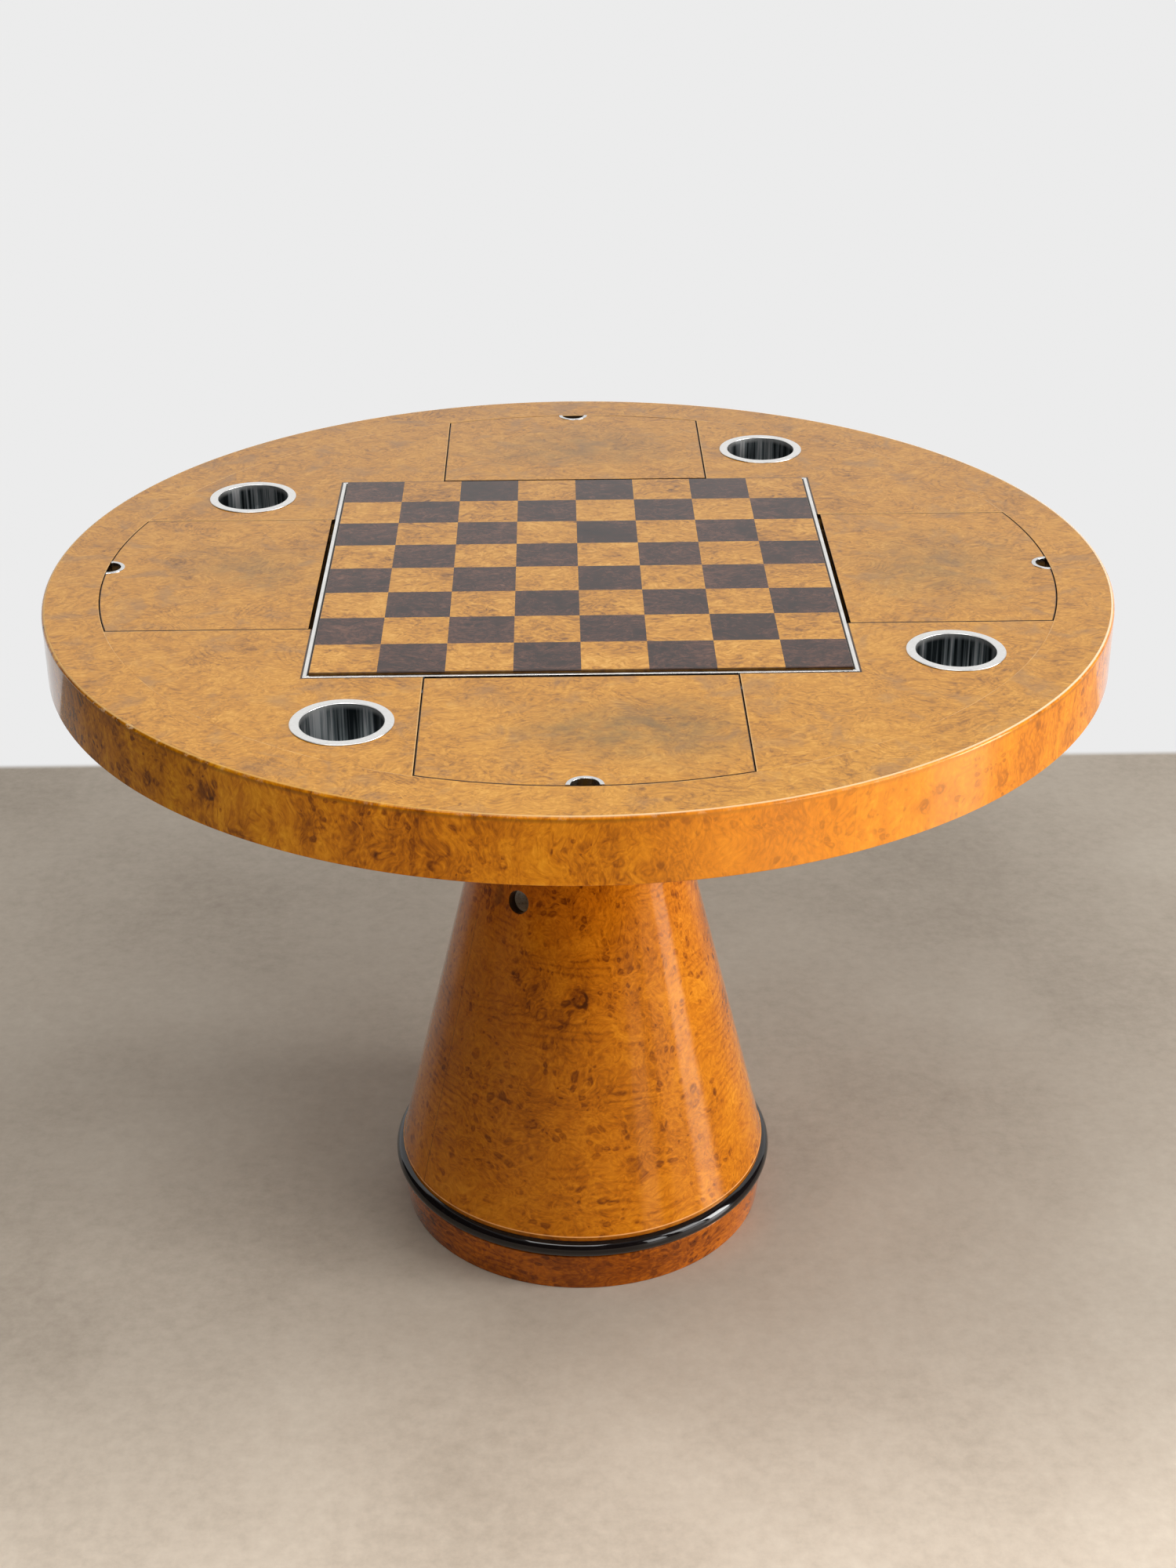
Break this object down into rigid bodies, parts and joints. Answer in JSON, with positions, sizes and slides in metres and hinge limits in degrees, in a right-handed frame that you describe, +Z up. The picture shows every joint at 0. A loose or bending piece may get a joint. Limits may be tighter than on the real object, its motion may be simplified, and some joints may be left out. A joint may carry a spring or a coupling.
{
  "type": "gaming table",
  "caption": "Round pedestal gaming table: lift-out chequered board in a chrome frame, hinged lids over felt-lined trays, drop-in cups, conical burl pedestal.",
  "frame": {"origin": "on the floor under the middle of the table", "axes": "+Z up; +Y to the back; the lids face the four ways, and the board's sides follow X and Y"},
  "size_m": [1.0599, 1.06, 0.7546],
  "materials": {
    "field_veneer": "satin lacquered burl",
    "border_veneer": "satin lacquered burl",
    "lid_veneer": "satin lacquered burl",
    "apron_veneer": "gloss lacquered burl",
    "pedestal_veneer": "gloss lacquered burl",
    "light_veneer": "satin lacquered burl",
    "dark_veneer": "satin lacquered, stained dark",
    "raw_board": "unfinished",
    "black_lacquer": "gloss black lacquer",
    "felt": "felt",
    "chrome": "polished",
    "brass": "plain",
    "zinc_steel": "zinc plated",
    "black_steel": "satin black",
    "cast_iron": "as cast"
  },
  "bodies": {
    "table": {"border_ring": "border_veneer", "corner_panel_front_right": "field_veneer", "corner_panel_back_right": "field_veneer", "corner_panel_back_left": "field_veneer", "corner_panel_front_left": "field_veneer", "apron_ring": "apron_veneer", "underside_panel": "raw_board", "well_wall_front": "raw_board", "well_wall_back": "raw_board", "well_wall_left": "raw_board", "well_wall_right": "raw_board", "tray_side_walls": "raw_board", "tray_arc_walls": "raw_board", "lid_cleats": "raw_board", "corner_ribs": "raw_board", "well_lining": "felt", "tray_linings": "felt", "hinge_bushes": "brass", "trim_front": "chrome", "trim_right": "chrome", "trim_back": "chrome", "trim_left": "chrome", "mounting_plate": "black_steel", "plate_screws": "zinc_steel", "cone_shell": "pedestal_veneer", "socket_block": "raw_board", "cone_top_block": "raw_board", "cone_base_disc": "pedestal_veneer", "base_board": "raw_board", "bead_ring": "black_lacquer", "plinth_band": "pedestal_veneer", "plinth_disc": "raw_board", "ballast_disc": "cast_iron", "tie_rod": "zinc_steel", "rod_nuts": "zinc_steel", "rod_washers": "zinc_steel"},
    "lid_front": {"lid_front": "lid_veneer", "pull_front": "chrome", "hinge_pins_front": "zinc_steel"},
    "lid_right": {"lid_right": "lid_veneer", "pull_right": "chrome", "hinge_pins_right": "zinc_steel"},
    "lid_back": {"lid_back": "lid_veneer", "pull_back": "chrome", "hinge_pins_back": "zinc_steel"},
    "lid_left": {"lid_left": "lid_veneer", "pull_left": "chrome", "hinge_pins_left": "zinc_steel"},
    "board": {"board_core": "raw_board", "board_lipping": "light_veneer", "light_squares": "light_veneer", "dark_squares": "dark_veneer", "board_backing": "felt"},
    "cup_front_right": {"cup_front_right": "chrome"},
    "cup_back_right": {"cup_back_right": "chrome"},
    "cup_back_left": {"cup_back_left": "chrome"},
    "cup_front_left": {"cup_front_left": "chrome"}
  },
  "joints": [
    {"name": "lid_front_hinge", "type": "hinge", "parent": "table", "child": "lid_front", "pos_m": [0, -0.2705, 0.743], "axis": [-1, 0, 0], "range_deg": [0, 90]},
    {"name": "lid_right_hinge", "type": "hinge", "parent": "table", "child": "lid_right", "pos_m": [0.2705, 0, 0.743], "axis": [0, -1, 0], "range_deg": [0, 90]},
    {"name": "lid_back_hinge", "type": "hinge", "parent": "table", "child": "lid_back", "pos_m": [0, 0.2705, 0.743], "axis": [1, 0, 0], "range_deg": [0, 90]},
    {"name": "lid_left_hinge", "type": "hinge", "parent": "table", "child": "lid_left", "pos_m": [-0.2705, 0, 0.743], "axis": [0, 1, 0], "range_deg": [0, 90]},
    {"name": "board_lift", "type": "slide", "parent": "table", "child": "board", "axis": [0, 0, 1], "range_m": [0, 0.25]},
    {"name": "cup_front_right_lift", "type": "slide", "parent": "table", "child": "cup_front_right", "axis": [0, 0, 1], "range_m": [0, 0.1]},
    {"name": "cup_back_right_lift", "type": "slide", "parent": "table", "child": "cup_back_right", "axis": [0, 0, 1], "range_m": [0, 0.1]},
    {"name": "cup_back_left_lift", "type": "slide", "parent": "table", "child": "cup_back_left", "axis": [0, 0, 1], "range_m": [0, 0.1]},
    {"name": "cup_front_left_lift", "type": "slide", "parent": "table", "child": "cup_front_left", "axis": [0, 0, 1], "range_m": [0, 0.1]}
  ]
}
